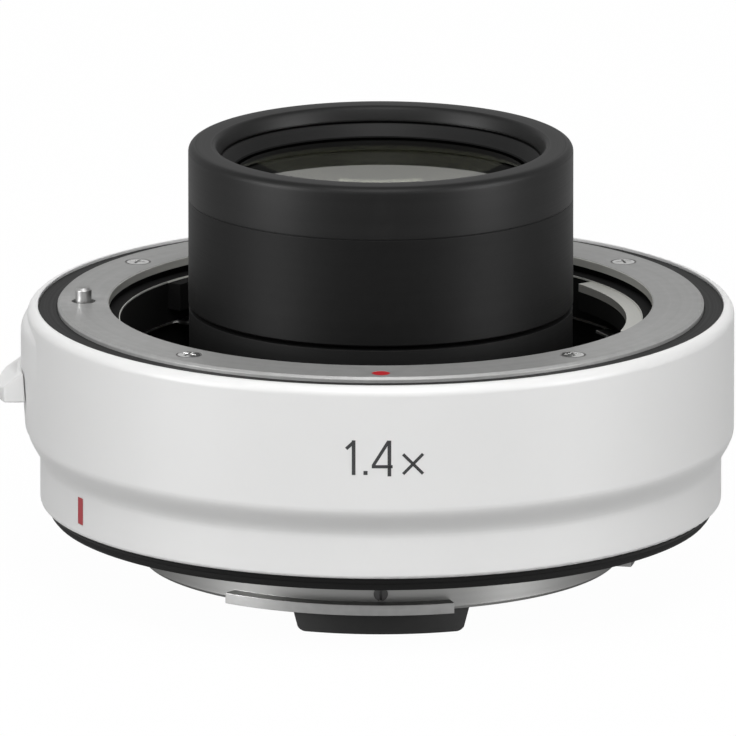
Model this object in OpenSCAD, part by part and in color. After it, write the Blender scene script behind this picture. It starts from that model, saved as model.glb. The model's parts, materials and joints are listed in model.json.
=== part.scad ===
// Short white teleconverter: female bayonet in front, male bayonet behind, glass between.
// Origin: optical axis in the rear bearing plane. +Z towards the lens, -Y towards the red dot.
// Angles run from the red dot towards +X. Lengths in millimetres.

/* [Mounts] */
// Distance between the front and the rear bearing face
flange_length = 20.3; // [20.1:0.1:22]
// Bore of the front ring at its face
throat_r = 27; // [26.8:0.1:27.3]
// Outer radius of the front ring
front_ring_r = 32.1; // [31.9:0.1:32.3]
// Radius of the rear spigot
spigot_r = 24; // [23.8:0.1:24.2]
// Length of the rear spigot below its bearing face
spigot_len = 5.5; // [5.4:0.1:5.8]
// Outer radius of the male lugs
lug_r = 25.5; // [25.3:0.1:25.6]
// Distance from a bearing face to the clamped side of the female lugs
lug_seat = 4.4; // [4.2:0.05:4.5]
// Reach of the rear guard and contact block below the bearing face
block_reach = 8.15; // [8:0.05:8.4]

/* [Barrel] */
// Radius of the white wall
wall_r = 35.1; // [35:0.05:35.6]
// Radius of the lower white band
band_r = 33.85; // [33.7:0.05:34]
// Height where the soft step between band and wall begins
step_low = 4.5; // [4.3:0.1:4.8]
// Height where the soft step ends
step_high = 7.7; // [7.2:0.1:8.2]
// How far the swelling round the lever stands out of the wall
swell = 0.65; // [0.5:0.05:0.9]

/* [Lens tube] */
// Outer radius of the black lens tube
tube_r = 19.1; // [19:0.05:19.3]
// Height of the tube above the front bearing face
tube_reach = 15.9; // [15.5:0.1:17]
// Height of the screwed front cap of the tube
cap_height = 5.2; // [5:0.1:5.6]

/* [Lock] */
// Pitch radius of the lock pin and its socket
pin_pitch_r = 29.5; // [29.4:0.05:29.6]
// Radius of the lock pin
pin_r = 0.8; // [0.7:0.05:0.85]
// How far the pin stands above the front face
pin_reach = 1.4; // [1.2:0.1:1.5]
// Travel of the release lever
lock_travel = 1.6; // [1.55:0.05:1.7]
// Width of the lever along the barrel
lever_w = 8; // [7:0.5:9]

/* [Contacts] */
// Angle between neighbouring contacts
contact_step = 3.4; // [3.2:0.1:3.5]
// Pitch radius of the contacts
contact_r = 21; // [20.9:0.1:21.2]

/* [Fits] */
// Radial gap of parts that slide together and stay
fit_gap = 0.05; // [0.03:0.01:0.08]
// Radial gap of parts that run on each other
run_gap = 0.06; // [0.03:0.01:0.08]
// Gap between moving parts that never touch
free_gap = 0.3; // [0.25:0.05:0.35]

/* [Hidden] */
$fn = 64;
front_z = flange_length;
plate_t = 1.5;
plate_z = front_z - plate_t;
trim_z = front_z - 0.3;
trim_drop = 0.25;
trim_r = wall_r - 1.1;
shell_r = wall_r - 1.7;
shell_low_r = band_r - 1.4;
shell_lip_r = shell_low_r - 0.9;
foot_z = 0.3;
foot_round = 0.3;
top_round = 0.95;

flange_t = 1.6;
flange_r = band_r - 2.65;
shim_t = 0.3;
shim_z = flange_t + shim_t;
shoulder_r = throat_r - 0.1;
spigot_bore = spigot_r - 1.7;
gasket_r = band_r - 0.9;
gasket_drop = 1.1;
stop_r = 0.7;
stop_z = -lug_seat + 0.8;

lug_gap = 0.4;
gap_r = lug_r + lug_gap;
lug_in = spigot_r + lug_gap;
lug_spans = [[-37, 16.5], [77, 126], [195, 235]];
lug_bottom = front_z - lug_seat;
lug_top = front_z - 1.6;
sleeve_r = 27.9;
leaf_t = 0.3;
leaf_z = front_z - spigot_len - 0.3;
ledge_z = leaf_z - leaf_t;
leaf_span = 34;

frame_r = shell_r - 1.1;
rim_r = shell_r - fit_gap;
well_r = 26.4;
cavity_r = flange_r - 2.6;
floor_z = front_z - 9.3;
web_z = floor_z - 1.8;
core_r = tube_r - 0.05;
core_bore = 17.2;
core_foot = 0.2;
foot_flange_r = 21;

screw_r = 0.75;
screw_head_r = 1.25;
front_screw_r = 29.4;
front_screws = [-40, 40, -124.5, 124.5];
rear_screw_r = flange_r - 1.6;
rear_screws = [-45, 45, -135, 135];

tube_top = front_z + tube_reach;
seam_z = tube_top - cap_height;
groove_w = 0.4;
seam_c = 0.04;
lip_r = tube_r - 0.9;
lip_z = tube_top - 1.4;
core_top = front_z - 0.5;
glass_z = tube_top - 3.3;
seat_1 = glass_z - 2.5;
top_2 = seat_1 - 4.4;
seat_2 = top_2 - 9.2;
tube_foot = seat_2 - 2.6;
lens_r_1 = 16;
lens_r_2 = 14;
lens_r_3 = 12.5;
lens_r_4 = 15.5;
mid_top = tube_foot - 0.4;
mid_low = mid_top - 10;
mid_seat = mid_low + 1;
mid_glass = mid_top - 1;
bond_2_z = seat_2 + 6.2;
curve_1 = 900;
curve_2 = 38;
curve_3 = 60;
curve_4 = 150;
curve_5 = 90;
curve_6 = 50;
bond_2 = 28;
bond_3 = 32;
rear_cell_top = 3;
cell_flange_r = 18.3;

pocket_half = 7.8;
pocket_in = 27.2;
pocket_floor = 4.5;
pin_top = front_z + pin_reach;
arm_top = ledge_z - fit_gap;
arm_t = 2.25;
arm_low = arm_top - arm_t;
arm_half = 6.9;
rod_r = 0.75;
rod_off = 5;
slide_in = frame_r + free_gap;
slide_out = shell_r - free_gap;
neck_half = 2.6;
neck_t = 1.4;
neck_low = arm_top - 0.45 - neck_t;
pin_low = arm_low - 3;
wire_r = 0.2;
coil_r = pin_r + wire_r + 0.25;
coil_turns = 7;
coil_low = pocket_floor + wire_r;
coil_high = arm_low - wire_r;
coil_pitch = (coil_high - coil_low) / coil_turns;
echo(lock_spring_self_gap = coil_pitch - 2 * wire_r);

swell_r = 22;
swell_x = wall_r + swell - swell_r;
lever_in = wall_r + swell + free_gap;
lever_out = lever_in + 2.15;
lever_low = neck_low - 1.4;
lever_plan_r = 10.5;
lever_h = 2.95;
lever_round = 0.45;
swell_fall = 0.4;

contact_count = 12;
contact_top = front_z - block_reach + 0.6;
contact_span = contact_step * (contact_count - 1) / 2;
block_half = contact_span + 5;
block_in = contact_r - 1.5;
block_out = contact_r + 1.5;
plunger_r = 0.33;
collar_r = 0.46;
bore_r = collar_r + run_gap;
step_z = contact_top - 2.2;
contact_floor = floor_z - 3.4;
board_z = 5.4;
board_t = 0.8;
board_posts = [118, 180, 242];
board_post_r = cavity_r - 2.4;
cover_r = spigot_bore - 0.1;
cover_floor = -4.6;
cover_posts = [-70, 70, 130];
cover_post_r = 20.1;
guard_half = 23.6;
guard_lean = 16;
guard_round = 1;

// Places children at an angle from the red dot, a radius and a height.
module at(a, r, z = 0) {
  rotate([0, 0, a])
    translate([0, -r, z])
      children();
}

module ring(r0, r1, z0, z1) {
  rotate_extrude()
    translate([r0, z0])
      square([r1 - r0, z1 - z0]);
}

module arc_block(r0, r1, z0, z1, a0, a1) {
  rotate([0, 0, a0 - 90])
    rotate_extrude(angle = a1 - a0)
      translate([r0, z0])
        square([r1 - r0, z1 - z0]);
}

// Turned stud: thin below z1, wide from z1 to z2.
module stud(r0, r1, z0, z1, z2) {
  rotate_extrude()
    polygon([[0, z0], [r0, z0], [r0, z1], [r1, z1], [r1, z2], [0, z2]]);
}

module rod(r, z0, z1) {
  translate([0, 0, z0])
    cylinder(r = r, h = z1 - z0);
}

// Half outline of a glass rim, and of the round face that bounds or hollows it.
module glass_rim(r, z0, z1) {
  translate([0, z0])
    square([r, z1 - z0]);
}

module glass_face(r, z) {
  translate([0, z])
    circle(r = r, $fn = 720);
}

// What is cut from a profile to round its upper outer corner.
module corner_cut(x, z, r) {
  translate([x - r, z - r])
    difference() {
      square(r + 0.5);
      circle(r = r);
    }
}

module low_corner_cut(x, z, r) {
  translate([x, z])
    mirror([0, 1])
      corner_cut(0, 0, r);
}

function soft_step(r0, r1, z0, z1) =
  [for (i = [0 : 10]) let (t = i / 10) [r0 + (r1 - r0) * t * t * (3 - 2 * t), z0 + (z1 - z0) * t]];

module barrel_outside() {
  rotate_extrude()
    difference() {
      polygon(concat([[30, foot_z], [band_r, foot_z]],
        soft_step(band_r, wall_r, step_low, step_high),
        [[wall_r, trim_z], [30, trim_z]]));
      corner_cut(wall_r, trim_z, top_round);
      low_corner_cut(band_r, foot_z, foot_round);
    }
}

// Radius of the swelling's slightly leaning wall behind the lever, at a height.
function swell_at(z) = swell_r - swell_fall * (arm_top - z) / (arm_top - step_high - 0.4);

// The swelling that carries the lever, a second round wall set off to one side.
module barrel_swell() {
  low_r = band_r - swell_x;
  translate([-swell_x, 0, 0])
    rotate_extrude()
      difference() {
        polygon(concat([[12, step_low]],
          soft_step(low_r - 0.2, swell_r - swell_fall, step_low, step_high + 0.4),
          [[swell_r, arm_top], [swell_r, trim_z], [12, trim_z]]));
        translate([swell_r - 2.6, trim_z - 2.6])
          difference() {
            square(3);
            circle(r = 2.6);
          }
      }
}

module barrel_inside() {
  rotate_extrude()
    polygon([[0, foot_z - 1], [shell_low_r, foot_z - 1], [shell_low_r, shim_z],
      [shell_lip_r, shim_z], [shell_lip_r, shim_z + 0.8], [shell_low_r, shim_z + 0.8],
      [shell_low_r, step_low + 0.5], [shell_r, step_low + 1.4], [shell_r, plate_z],
      [trim_r + fit_gap, plate_z], [trim_r + fit_gap, trim_z + 1], [0, trim_z + 1]]);
}

module outer_barrel() {
  color("white")
    difference() {
      union() {
        barrel_outside();
        barrel_swell();
      }
      barrel_inside();
      at(-90, wall_r, neck_low - lock_travel - 0.15)
        translate([-neck_half - free_gap, -3, 0])
          cube([2 * (neck_half + free_gap), 6, neck_t + lock_travel + 0.3]);
      mark_block(false);
    }
}

// The red line on the lower band, let into the paint.
module mark_block(proud) {
  half = 0.85;
  out = proud ? band_r + 0.02 : band_r + 0.6;
  arc_block(band_r - 0.3, out, 1.5, 4.2, -61.3 - half, -61.3 + half);
}

module rear_index_mark() {
  color("red")
    mark_block(true);
}

module front_trim_ring() {
  color("dimgray")
    rotate_extrude()
      polygon([[front_ring_r + fit_gap, plate_z], [trim_r, plate_z], [trim_r, trim_z - trim_drop],
        [front_ring_r + fit_gap, trim_z - trim_drop]]);
}

module lug_set(r0, r1, z0, z1) {
  for (s = lug_spans)
    arc_block(r0, r1, z0, z1, s[0], s[1]);
}

module csk_hole(z, up) {
  translate([0, 0, z])
    mirror([0, 0, up > 0 ? 0 : 1]) {
      translate([0, 0, -3])
        cylinder(r = screw_r + fit_gap, h = 3);
      translate([0, 0, -0.7])
        cylinder(r1 = screw_r + fit_gap, r2 = screw_head_r + fit_gap, h = 0.7);
    }
}

module front_mount_ring() {
  color("silver")
    difference() {
      union() {
        rotate_extrude()
          polygon([[gap_r, leaf_z], [sleeve_r, leaf_z], [sleeve_r, plate_z],
            [front_ring_r, plate_z], [front_ring_r, front_z - 0.25], [front_ring_r - 0.25, front_z],
            [throat_r + 0.1, front_z], [throat_r, front_z - 0.1], [throat_r, front_z - 0.9],
            [throat_r + 0.5, front_z - 0.9], [throat_r + 0.5, lug_top], [gap_r, lug_top]]);
        lug_set(lug_in, gap_r + 0.4, lug_bottom, lug_top - 0.1);
      }
      at(-90, pin_pitch_r, plate_z - 1)
        cylinder(r = pin_r + 0.4, h = 4);
      at(0, 30.2, front_z - 0.35)
        cylinder(r = 0.9, h = 1);
      for (a = front_screws)
        at(a, front_screw_r, 0)
          csk_hole(front_z, 1);
    }
}

module front_index_dot() {
  color("red")
    at(0, 30.2, front_z - 0.35)
      cylinder(r = 0.9, h = 0.33);
}

// Countersunk screw with its head at height z, pointing down or up.
module csk_screw(z, up, length) {
  translate([0, 0, z])
    mirror([0, 0, up > 0 ? 0 : 1])
      difference() {
        union() {
          translate([0, 0, -0.7])
            cylinder(r1 = screw_r, r2 = screw_head_r, h = 0.65);
          translate([0, 0, -length])
            cylinder(r = screw_r, h = length - 0.6);
        }
        for (t = [0, 90])
          rotate([0, 0, t])
            translate([-0.75, -0.13, -0.45])
              cube([1.5, 0.26, 1]);
      }
}

module front_mount_screws() {
  color("silver")
    for (a = front_screws)
      at(a, front_screw_r, 0)
        csk_screw(front_z, 1, 5.8);
}

module front_leaf_springs() {
  color("gainsboro")
    union() {
      ring(gap_r + 0.1, sleeve_r, ledge_z, leaf_z);
      for (s = lug_spans) {
        mid = (s[0] + s[1]) / 2;
        arc_block(lug_in, gap_r + 0.2, ledge_z, leaf_z, mid - leaf_span / 2, mid + leaf_span / 2);
        at(mid, gap_r - 0.1, leaf_z - 0.05)
          rotate([-90, 0, 0])
            cylinder(r = 0.35, h = gap_r - 0.1 - lug_in);
      }
    }
}

module frame_body() {
  rotate_extrude()
    polygon([[core_bore, core_foot], [foot_flange_r, core_foot], [foot_flange_r, core_foot + 1.4],
      [core_r, core_foot + 1.4], [core_r, web_z], [cavity_r, web_z], [cavity_r, shim_z],
      [shell_lip_r - fit_gap, shim_z], [shell_lip_r - fit_gap, shim_z + 0.85],
      [shell_low_r - fit_gap, shim_z + 0.85],
      [shell_low_r - fit_gap, step_low + 0.3], [frame_r, step_low + 0.5], [frame_r, plate_z - 1.2],
      [rim_r, plate_z - 1.2], [rim_r, plate_z], [sleeve_r + fit_gap, plate_z],
      [sleeve_r + fit_gap, ledge_z], [well_r, ledge_z], [well_r, floor_z], [core_r, floor_z],
      [core_r, core_top], [core_bore, core_top]]);
}

module chassis() {
  color("dimgray")
    difference() {
      union() {
        frame_body();
        for (a = board_posts)
          at(a, board_post_r, board_z + board_t)
            cylinder(r = 1.6, h = web_z - board_z - board_t + 0.2);
        at(-90, pin_pitch_r, 0)
          translate([-4, -1, pocket_floor - 1.5])
            cube([8, 3.2, 1.5]);
      }
      at(-90, pocket_in, pocket_floor)
        translate([-pocket_half, -8, 0])
          difference() {
            cube([2 * pocket_half, 8, ledge_z - pocket_floor]);
            translate([pocket_half, 8 - pin_pitch_r + pocket_in, -0.1])
              cylinder(r = pin_r, h = 1.6);
          }
      at(-90, pin_pitch_r, ledge_z - 1)
        cylinder(r = pin_r + run_gap, h = 8);
      for (s = [-1, 1])
        at(-90, pin_pitch_r, 0)
          translate([s * rod_off, 0, 0])
            rod(rod_r, pocket_floor - 1.3, ledge_z + 1.3);
      for (a = front_screws)
        at(a, front_screw_r, 0)
          rod(screw_r, front_z - 6, front_z);
      for (a = rear_screws)
        at(a, rear_screw_r, 0)
          rod(screw_r, 0, 5.4);
      arc_block(block_in - 0.05, block_out + 0.75, web_z - 1, floor_z + 1,
        180 - block_half - 1.1, 180 + block_half + 1.1);
      arc_block(core_r, foot_flange_r + 1, 0, core_foot + 2, 180 - 15.5, 180 + 15.5);
      for (s = [-1, 1])
        at(180 + s * (block_half + 3.5), contact_r + 0.6, 0)
          rod(0.45, floor_z - 1.6, floor_z + 1);
      for (a = board_posts)
        at(a, board_post_r, 0)
          rod(0.5, board_z, web_z);
      for (a = cover_posts)
        at(a, cover_post_r, 0)
          rod(0.5, 0, core_foot + 2);
    }
}

module front_lens_tube() {
  color("black")
    rotate_extrude()
      polygon([[lens_r_2 - 1.4, tube_foot], [core_bore - fit_gap, tube_foot],
        [core_bore - fit_gap, core_top + groove_w], [tube_r - 0.15, core_top + groove_w],
        [tube_r, core_top + groove_w + 0.15], [tube_r, seam_z - seam_c], [tube_r - seam_c, seam_z],
        [lens_r_1 + 1.6, seam_z], [lens_r_1 + 1.6, glass_z + 0.5], [lens_r_1 + 0.65, glass_z + 0.5],
        [lens_r_1 + 0.65, glass_z], [lens_r_1 + fit_gap, glass_z], [lens_r_1 + fit_gap, seat_1],
        [lens_r_2 + 0.9, seat_1], [lens_r_2 + 0.9, top_2], [lens_r_2 + fit_gap, top_2],
        [lens_r_2 + fit_gap, seat_2], [lens_r_2 - 1.4, seat_2]]);
}

module front_cap_ring() {
  color("black")
    rotate_extrude()
      difference() {
        polygon([[lens_r_1 + 1.6 + fit_gap, seam_z], [tube_r - seam_c, seam_z],
          [tube_r, seam_z + seam_c], [tube_r, tube_top], [lip_r, tube_top], [lens_r_1 - 0.1, lip_z],
          [lens_r_1 + 0.75, lip_z], [lens_r_1 + 0.75, glass_z + 0.55],
          [lens_r_1 + 1.6 + fit_gap, glass_z + 0.55]]);
        corner_cut(tube_r, tube_top, 0.7);
      }
}

module front_retaining_ring() {
  color("black")
    rotate_extrude()
      polygon([[lens_r_1 - 1.15, glass_z + 0.05], [lens_r_1 + 0.6, glass_z + 0.05],
        [lens_r_1 + 0.6, lip_z - 0.1], [lens_r_1 - 0.2, lip_z - 0.1],
        [lens_r_1 - 1.4, glass_z + 0.25]]);
}

function sag(r, h) = r - sqrt(r * r - h * h);

module lens_1() {
  color("lightcyan")
    rotate_extrude()
      union() {
        difference() {
          glass_rim(lens_r_1, seat_1, glass_z);
          glass_face(curve_1, glass_z - sag(curve_1, lens_r_1) + curve_1);
        }
        intersection() {
          glass_rim(lens_r_2 + 0.8, seat_1 - 4, seat_1 + 0.1);
          glass_face(curve_2, seat_1 - sag(curve_2, lens_r_2 + 0.8) + curve_2);
        }
      }
}

module lens_2() {
  color("lightcyan")
    rotate_extrude()
      difference() {
        glass_rim(lens_r_2, bond_2_z - 3.8, top_2);
        glass_face(curve_3, top_2 - sag(curve_3, lens_r_2) + curve_3);
        glass_face(bond_2, bond_2_z - bond_2);
      }
}

module lens_3() {
  color("lightcyan")
    rotate_extrude()
      intersection() {
        glass_rim(lens_r_2, seat_2, top_2);
        glass_face(bond_2, bond_2_z - bond_2);
      }
}

module second_group_retainer() {
  color("black")
    ring(lens_r_2 - 1.1, lens_r_2 + 0.85, top_2, top_2 + 1);
}

module lens_4() {
  color("lightcyan")
    rotate_extrude()
      difference() {
        glass_rim(lens_r_3, mid_seat + 3.5, mid_glass);
        glass_face(curve_4, mid_glass - sag(curve_4, lens_r_3) + curve_4);
        glass_face(bond_3, mid_glass - 1.6 - bond_3);
      }
}

module lens_5() {
  color("lightcyan")
    rotate_extrude()
      intersection() {
        glass_rim(lens_r_3, mid_seat, mid_glass);
        glass_face(bond_3, mid_glass - 1.6 - bond_3);
        glass_face(bond_3, mid_seat + 0.8 + bond_3);
      }
}

module lens_6() {
  color("lightcyan")
    rotate_extrude()
      difference() {
        glass_rim(lens_r_3, mid_seat, mid_seat + 3.45);
        glass_face(bond_3, mid_seat + 0.8 + bond_3);
      }
}

module middle_lens_cell() {
  color("black")
    rotate_extrude()
      polygon([[lens_r_3 - 0.9, mid_low], [core_bore - fit_gap, mid_low], [core_bore - fit_gap, mid_top],
        [lens_r_3 + fit_gap, mid_top], [lens_r_3 + fit_gap, mid_seat], [lens_r_3 - 0.9, mid_seat]]);
}

module middle_retainer() {
  color("black")
    ring(lens_r_3 - 0.9, lens_r_3, mid_glass, mid_top - 0.2);
}

module cell_spacer() {
  color("black")
    ring(core_bore - 2, core_bore - fit_gap, rear_cell_top, mid_low);
}

module rear_lens_cell() {
  color("black")
    rotate_extrude()
      polygon([[lens_r_4 - 1.1, 2], [lens_r_4 + fit_gap, 2], [lens_r_4 + fit_gap, -1.6],
        [cell_flange_r, -1.6], [cell_flange_r, core_foot], [core_bore - fit_gap, core_foot],
        [core_bore - fit_gap, rear_cell_top], [lens_r_4 - 1.1, rear_cell_top]]);
}

module lens_7() {
  color("lightcyan")
    rotate_extrude()
      union() {
        difference() {
          glass_rim(lens_r_4, 0, 2);
          glass_face(curve_5, 2 - sag(curve_5, lens_r_4) + curve_5);
        }
        intersection() {
          glass_rim(lens_r_4 - 1.1, -3, 0.1);
          glass_face(curve_6, -sag(curve_6, lens_r_4 - 1.1) + curve_6);
        }
      }
}

module rear_retaining_ring() {
  color("black")
    difference() {
      ring(lens_r_4 - 1.05, lens_r_4, -1.2, 0);
      for (s = [-1, 1])
        translate([s * (lens_r_4 - 0.4) - 0.5, -0.6, -2])
          cube([1, 1.2, 1.4]);
    }
}

module rear_mount_ring() {
  color("silver")
    difference() {
      union() {
        rotate_extrude()
          polygon([[spigot_bore, -spigot_len], [spigot_r - 0.3, -spigot_len],
            [spigot_r, -spigot_len + 0.3], [spigot_r, -0.8], [shoulder_r - 0.2, -0.8],
            [shoulder_r, -0.6], [shoulder_r, 0], [flange_r, 0], [flange_r, flange_t],
            [spigot_bore, flange_t]]);
        lug_set(spigot_r - 0.8, lug_r, -spigot_len, -lug_seat - 0.05);
      }
      for (a = rear_screws)
        at(a, rear_screw_r, 0)
          csk_hole(0, -1);
      at(-90, pin_pitch_r, -1)
        cylinder(r = pin_r + 0.4, h = 4);
      at(0, 0, stop_z)
        rotate([90, 0, 0])
          cylinder(r = stop_r, h = 30);
    }
}

module rear_mount_screws() {
  color("silver")
    for (a = rear_screws)
      at(a, rear_screw_r, 0)
        csk_screw(0, -1, 5.2);
}

module rear_mount_shim() {
  color("gold")
    difference() {
      ring(cavity_r, shell_low_r - 0.1, flange_t, shim_z);
      for (a = rear_screws)
        at(a, rear_screw_r, 0)
          rod(screw_r + fit_gap, 0, 4);
    }
}

module rear_gasket() {
  out = shell_low_r - 0.1;
  color("black")
    rotate_extrude()
      polygon([[flange_r + fit_gap, flange_t], [out, flange_t], [out, foot_z],
        [band_r - foot_round, foot_z], [band_r - 0.4, 0.05], [band_r - 0.65, -0.2], [gasket_r, -0.38],
        [gasket_r - 0.05, -gasket_drop + 0.3], [gasket_r - 0.3, -gasket_drop],
        [gasket_r - 0.7, -gasket_drop], [flange_r + fit_gap, -0.15]]);
}

module stop_screw() {
  color("silver")
    at(0, 0, stop_z)
      rotate([90, 0, 0])
        difference() {
          translate([0, 0, spigot_bore + 0.2])
            cylinder(r = stop_r, h = spigot_r - spigot_bore + 0.1);
          translate([-0.14, -1, spigot_r - 0.2])
            cube([0.28, 2, 1]);
        }
}

// Arc block under the spigot whose ends lean in and whose lower corners are round.
module guard_arc(r0, r1, z0, z1, mid, half) {
  in = 0.2;
  turn = in + (z1 - z0 - guard_round) * tan(guard_lean) + guard_round;
  difference() {
    arc_block(r0, r1, z0, z1, mid - half, mid + half);
    for (s = [-1, 1]) {
      at(mid + s * half, 0, z1)
        rotate([0, s * guard_lean, 0])
          translate([s > 0 ? -in : in - 4, -30, -6])
            cube([4, 30, 8]);
      at(mid + s * half, 0, z0 + guard_round)
        translate([-s * turn, 0, 0])
          rotate([90, 0, 0])
            linear_extrude(height = 30)
              difference() {
                translate([s > 0 ? 0 : -3, -guard_round - 1])
                  square([3, guard_round + 1]);
                circle(r = guard_round);
              }
    }
  }
}

module rear_inner_cover() {
  color("black")
    difference() {
      union() {
        ring(cover_r - 1, cover_r, -spigot_len, 0.6);
        rod(cover_r - 0.9, cover_floor, cover_floor + 1);
        ring(cell_flange_r - 0.8, cell_flange_r, cover_floor + 0.9, -1.6);
        for (a = cover_posts)
          at(a, cover_post_r, 0)
            rod(1.5, cover_floor + 0.9, core_foot);
        arc_block(block_in, cover_r - 0.9, -spigot_len - 0.1, cover_floor + 0.1,
          -guard_half, guard_half);
        guard_arc(block_in, block_out, -block_reach, -spigot_len, 0, guard_half);
      }
      translate([-12.5, -8.5, cover_floor - 1])
        cube([25, 17, 3]);
      arc_block(block_in, cover_r - 0.9, -spigot_len - 1, 2, 180 - 14.4, 180 + 14.4);
      for (a = cover_posts)
        at(a, cover_post_r, 0)
          rod(0.55, cover_floor - 1, 1);
    }
}

module rear_cover_screws() {
  color("silver")
    for (a = cover_posts)
      at(a, cover_post_r, 0)
        difference() {
          union() {
            rod(0.5, cover_floor, core_foot + 1.2);
            rod(1, cover_floor - 0.5, cover_floor);
          }
          for (t = [0, 90])
            rotate([0, 0, t])
              translate([-0.6, -0.12, cover_floor - 1])
                cube([1.2, 0.24, 0.8]);
        }
}

module pad_box(i, grow) {
  at(180 + (i - (contact_count - 1) / 2) * contact_step, contact_r, 0)
    translate([-0.45, -0.9, -block_reach + 0.05 - grow])
      cube([0.9, 1.8, 0.35 + grow]);
}

module rear_contact_block() {
  color("black")
    difference() {
      union() {
        guard_arc(block_in, block_out, -block_reach, -spigot_len, 180, block_half);
        arc_block(block_in + 0.1, cover_r - 1.1, -spigot_len - 0.1, core_foot + 1, 180 - 14, 180 + 14);
      }
      for (i = [0 : contact_count - 1])
        pad_box(i, 1);
    }
}

module rear_contact_pads() {
  color("gold")
    for (i = [0 : contact_count - 1])
      pad_box(i, 0);
}

module contact_at(i) {
  at(180 + (i - (contact_count - 1) / 2) * contact_step, contact_r, 0)
    children();
}

module front_contact_block() {
  core = block_half + 1;
  ear = block_half + 7;
  color("black")
    difference() {
      union() {
        arc_block(block_in, block_out + 0.7, contact_floor, floor_z + 0.3, 180 - core, 180 + core);
        arc_block(block_in + 0.4, block_out + 0.7, floor_z, floor_z + 0.3, 180 - ear, 180 + ear);
      }
      for (i = [0 : contact_count - 1])
        contact_at(i) {
          rod(plunger_r + run_gap, step_z - 1, floor_z + 1);
          rod(bore_r, contact_floor - 1, step_z);
        }
      for (s = [-1, 1])
        at(180 + s * (block_half + 3.5), contact_r + 0.6, 0)
          rod(0.5, floor_z - 1, floor_z + 1);
    }
}

module contact_block_screws() {
  color("silver")
    for (s = [-1, 1])
      at(180 + s * (block_half + 3.5), contact_r + 0.6, 0)
        stud(0.45, 0.8, floor_z - 1.5, floor_z + 0.3, floor_z + 0.7);
}

module contact_tails() {
  color("gold")
    for (i = [0 : contact_count - 1])
      contact_at(i)
        stud(0.25, bore_r, board_z - 0.3, contact_floor, contact_floor + 0.6);
}

module contact_pin(i) {
  color("gold")
    contact_at(i)
      rotate_extrude()
        union() {
          polygon([[0, step_z - 1.1], [collar_r, step_z - 1.1], [collar_r, step_z - 0.1],
            [plunger_r, step_z - 0.1], [plunger_r, contact_top - plunger_r],
            [0, contact_top - plunger_r]]);
          intersection() {
            translate([0, contact_top - plunger_r])
              circle(r = plunger_r);
            translate([0, contact_top - plunger_r - 0.1])
              square(1);
          }
        }
}

module contact_pin_01() { contact_pin(0); }
module contact_pin_02() { contact_pin(1); }
module contact_pin_03() { contact_pin(2); }
module contact_pin_04() { contact_pin(3); }
module contact_pin_05() { contact_pin(4); }
module contact_pin_06() { contact_pin(5); }
module contact_pin_07() { contact_pin(6); }
module contact_pin_08() { contact_pin(7); }
module contact_pin_09() { contact_pin(8); }
module contact_pin_10() { contact_pin(9); }
module contact_pin_11() { contact_pin(10); }
module contact_pin_12() { contact_pin(11); }

module circuit_board() {
  color("darkgreen")
    difference() {
      arc_block(core_r + 0.5, cavity_r - 0.4, board_z, board_z + board_t, 105, 255);
      for (i = [0 : contact_count - 1])
        contact_at(i)
          rod(0.25, board_z - 1, board_z + 2);
      for (a = board_posts)
        at(a, board_post_r, 0)
          rod(0.55, board_z - 1, board_z + 2);
    }
}

module control_chip() {
  color("black")
    at(148, cavity_r - 4.2, board_z - 0.9)
      translate([-2.5, -2.5, 0])
        cube([5, 5, 0.9]);
}

module board_screws() {
  color("silver")
    for (a = board_posts)
      at(a, board_post_r, board_z)
        mirror([0, 0, 1])
          stud(0.5, 1, -(web_z - board_z - 0.6), 0, 0.5);
}

module flex_circuit() {
  color("orange")
    translate([-5, contact_r - 0.9, core_foot + 1])
      cube([10, 0.15, board_z - core_foot - 1]);
}

module lock_pin() {
  color("silver")
    at(-90, pin_pitch_r, 0)
      union() {
        rod(pin_r, pin_low, pin_top - 0.25);
        translate([0, 0, pin_top - 0.25])
          cylinder(r1 = pin_r, r2 = pin_r - 0.25, h = 0.25);
      }
}

module lock_carriage() {
  socket_in = frame_r - 1.6;
  color("gray")
    difference() {
      union() {
        intersection() {
          arc_block(pocket_in + 1.2, slide_in + 0.1, arm_low, arm_top, -106, -74);
          at(-90, pin_pitch_r, 0)
            translate([-arm_half, -8, arm_low])
              cube([2 * arm_half, 16, arm_t]);
        }
        arc_block(slide_in, slide_out, arm_low - 4, arm_top + 2.5, -102, -78);
      }
      at(-90, pin_pitch_r, 0)
        rod(pin_r, arm_low - 1, arm_top + 1);
      for (s = [-1, 1])
        at(-90, pin_pitch_r, 0)
          translate([s * rod_off, 0, 0])
            rod(rod_r + run_gap, arm_low - 1, arm_top + 1);
      at(-90, socket_in, neck_low - fit_gap)
        translate([-neck_half - fit_gap, -6, 0])
          cube([2 * (neck_half + fit_gap), 6, neck_t + 2 * fit_gap]);
      at(-90, frame_r - 0.7, 0)
        rod(0.4, arm_low - 1, arm_top + 1);
    }
}

module lever_cross_pin() {
  color("silver")
    at(-90, frame_r - 0.7, 0)
      rod(0.4, arm_low, arm_top);
}

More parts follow.
